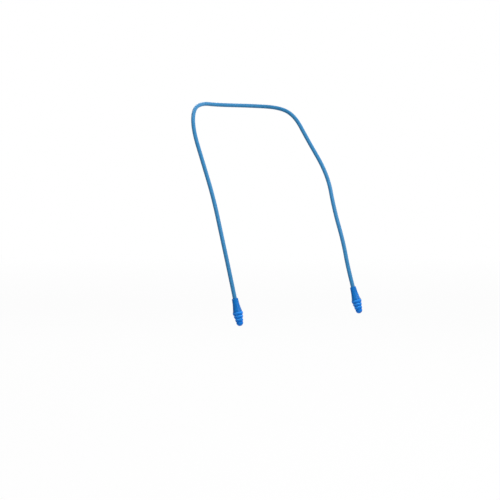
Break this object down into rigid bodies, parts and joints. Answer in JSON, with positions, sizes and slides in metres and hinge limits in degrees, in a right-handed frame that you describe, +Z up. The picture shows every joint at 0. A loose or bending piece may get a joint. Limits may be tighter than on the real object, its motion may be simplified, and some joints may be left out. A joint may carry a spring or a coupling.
{
  "type": "corded ear plugs",
  "caption": "Reusable ear plugs with soft flanged tips and conical grips, joined by a braided neck cord in the shape it takes when worn.",
  "frame": {"origin": "the point of the nape that the cord rests on, at the middle of the cord's back run", "axes": "+Z up, the wearer faces -Y, and +X is to the wearer's left, which is the right-hand side seen from the front"},
  "size_m": [0.1982, 0.1869, 0.2964],
  "materials": {
    "braid": "braided polyester",
    "ferrule_metal": "brushed",
    "grip_rubber": "satin moulded",
    "core_plastic": "fine moulded",
    "tip_rubber": "soft satin moulded"
  },
  "bodies": {
    "neck_cord": {"cord": "braid", "ferrule_left": "ferrule_metal", "ferrule_right": "ferrule_metal"},
    "plug_left": {"grip_left": "grip_rubber", "core_left": "core_plastic"},
    "tip_left": {"eartip_left": "tip_rubber"},
    "plug_right": {"grip_right": "grip_rubber", "core_right": "core_plastic"},
    "tip_right": {"eartip_right": "tip_rubber"}
  },
  "joints": [
    {"name": "left_swivel", "type": "hinge", "parent": "neck_cord", "child": "plug_left", "pos_m": [-0.0658, -0.17223, -0.26636], "axis": [0.1327, -0.2042, -0.9699], "continuous": true},
    {"name": "left_tip_pull", "type": "slide", "parent": "plug_left", "child": "tip_left", "axis": [0.1327, -0.2042, -0.9699], "range_m": [0, 0.015]},
    {"name": "right_swivel", "type": "hinge", "parent": "neck_cord", "child": "plug_right", "pos_m": [0.10339, -0.17008, -0.25542], "axis": [0.1638, -0.2457, -0.9554], "continuous": true},
    {"name": "right_tip_pull", "type": "slide", "parent": "plug_right", "child": "tip_right", "axis": [0.1638, -0.2457, -0.9554], "range_m": [0, 0.015]}
  ]
}
